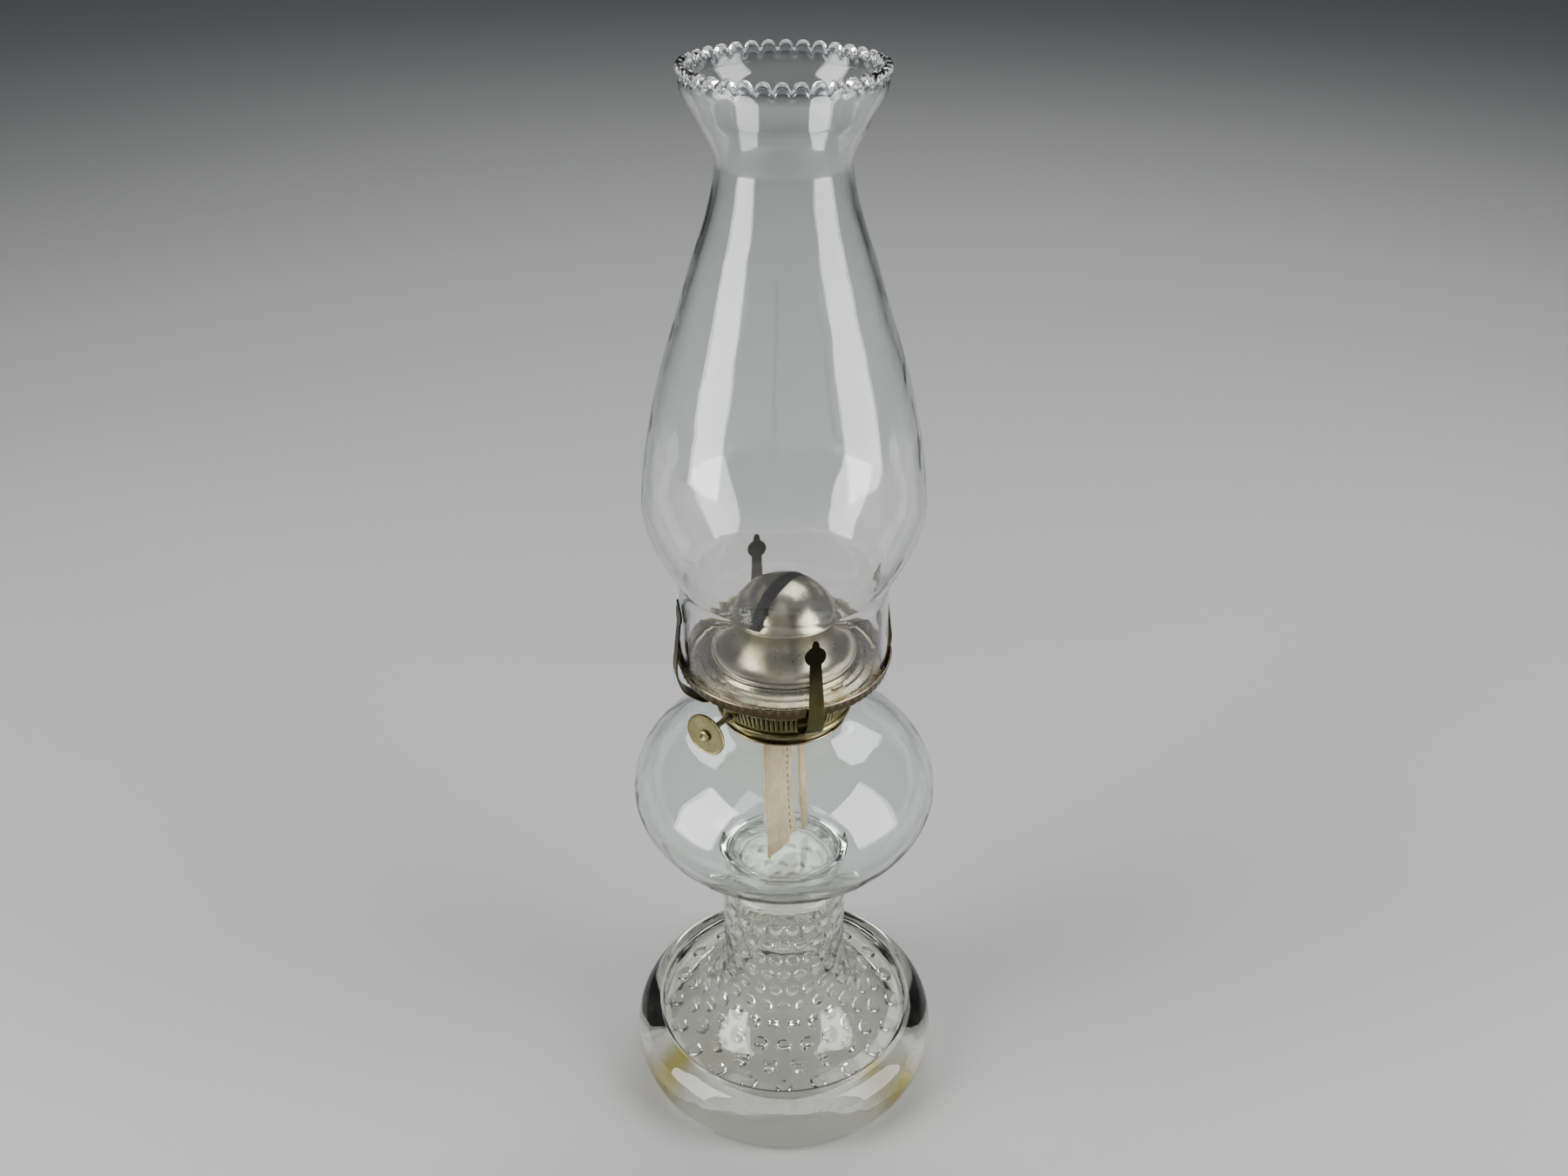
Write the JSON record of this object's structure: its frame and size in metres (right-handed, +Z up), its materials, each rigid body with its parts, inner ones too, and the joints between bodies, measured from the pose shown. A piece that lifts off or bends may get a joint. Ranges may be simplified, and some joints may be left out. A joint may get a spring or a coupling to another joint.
{
  "type": "oil lamp",
  "caption": "Flat-wick oil lamp: hollow pressed glass foot, glass font, screw-in burner with thumbwheel, spring-prong gallery and glass chimney.",
  "frame": {"origin": "centre of the glass foot's resting face", "axes": "+Z up the lamp's axis; the wick's width and the winding spindle run along Y, with the thumbwheel towards -Y"},
  "size_m": [0.127, 0.127, 0.4156],
  "materials": {
    "pressed_glass": "clear pressed glass with a faint straw tint",
    "blown_glass": "clear blown glass with a faint green tint",
    "chimney_glass": "thin clear blown glass",
    "nickel_plate": "worn nickel plate, satin, with brass showing through",
    "aged_brass": "dull aged brass",
    "pale_brass": "pale stippled brass",
    "spring_brass": "dark olive spring brass",
    "spindle_steel": "plain drawn wire, dull",
    "plaster": "matte plaster cement",
    "wick_cotton": "woven cotton wick, oil stained"
  },
  "bodies": {
    "reservoir": {"glass_foot": "pressed_glass", "glass_font": "blown_glass", "collar_cement": "plaster", "font_collar": "aged_brass"},
    "burner": {"burner_base": "aged_brass", "air_basket": "aged_brass", "gallery": "nickel_plate", "draught_bell": "nickel_plate", "flame_dome": "nickel_plate", "wick_tube": "aged_brass", "spur_housing": "aged_brass", "spindle_bush": "aged_brass", "prong_root_1": "spring_brass", "prong_root_2": "spring_brass", "prong_root_3": "spring_brass", "prong_root_4": "spring_brass", "prong_rivet_1": "aged_brass", "prong_rivet_2": "aged_brass", "prong_rivet_3": "aged_brass", "prong_rivet_4": "aged_brass"},
    "chimney": {"chimney": "chimney_glass"},
    "winder": {"spindle": "spindle_steel", "spur_wheel_1": "aged_brass", "spur_wheel_2": "aged_brass", "spur_wheel_3": "aged_brass", "thumbwheel": "pale_brass", "thumbwheel_rivet": "pale_brass"},
    "wick": {"wick": "wick_cotton"},
    "spring_leaf_1": {"prong_1": "spring_brass"},
    "spring_leaf_2": {"prong_2": "spring_brass"},
    "spring_leaf_3": {"prong_3": "spring_brass"},
    "spring_leaf_4": {"prong_4": "spring_brass"}
  },
  "joints": [
    {"name": "burner_lift", "type": "slide", "parent": "reservoir", "child": "burner", "axis": [0, 0, 1], "range_m": [0, 0.09]},
    {"name": "chimney_lift", "type": "slide", "parent": "burner", "child": "chimney", "axis": [0, 0, 1], "range_m": [0, 0.06]},
    {"name": "spindle_turn", "type": "hinge", "parent": "burner", "child": "winder", "pos_m": [-0.0045, -0.0412, 0.1915], "axis": [0, -1, 0], "range_deg": [-30, 200]},
    {"name": "wick_raise", "type": "slide", "parent": "burner", "child": "wick", "axis": [0, 0, 1], "range_m": [-0.00178, 0.01186]},
    {"name": "prong_flex_1", "type": "hinge", "parent": "burner", "child": "spring_leaf_1", "pos_m": [0.02469, -0.01929, 0.1922], "axis": [0.6157, 0.788, 0], "range_deg": [0, 5], "stiffness_Nm_per_rad": 0.5},
    {"name": "prong_flex_2", "type": "hinge", "parent": "burner", "child": "spring_leaf_2", "pos_m": [0.01929, 0.02469, 0.1922], "axis": [-0.788, 0.6157, 0], "range_deg": [0, 5], "stiffness_Nm_per_rad": 0.5},
    {"name": "prong_flex_3", "type": "hinge", "parent": "burner", "child": "spring_leaf_3", "pos_m": [-0.02469, 0.01929, 0.1922], "axis": [-0.6157, -0.788, 0], "range_deg": [0, 5], "stiffness_Nm_per_rad": 0.5},
    {"name": "prong_flex_4", "type": "hinge", "parent": "burner", "child": "spring_leaf_4", "pos_m": [-0.01929, -0.02469, 0.1922], "axis": [0.788, -0.6157, 0], "range_deg": [0, 5], "stiffness_Nm_per_rad": 0.5}
  ],
  "couplings": [
    {"joint": "spindle_turn", "follows": "wick_raise", "rad_per_m": 294.12}
  ]
}
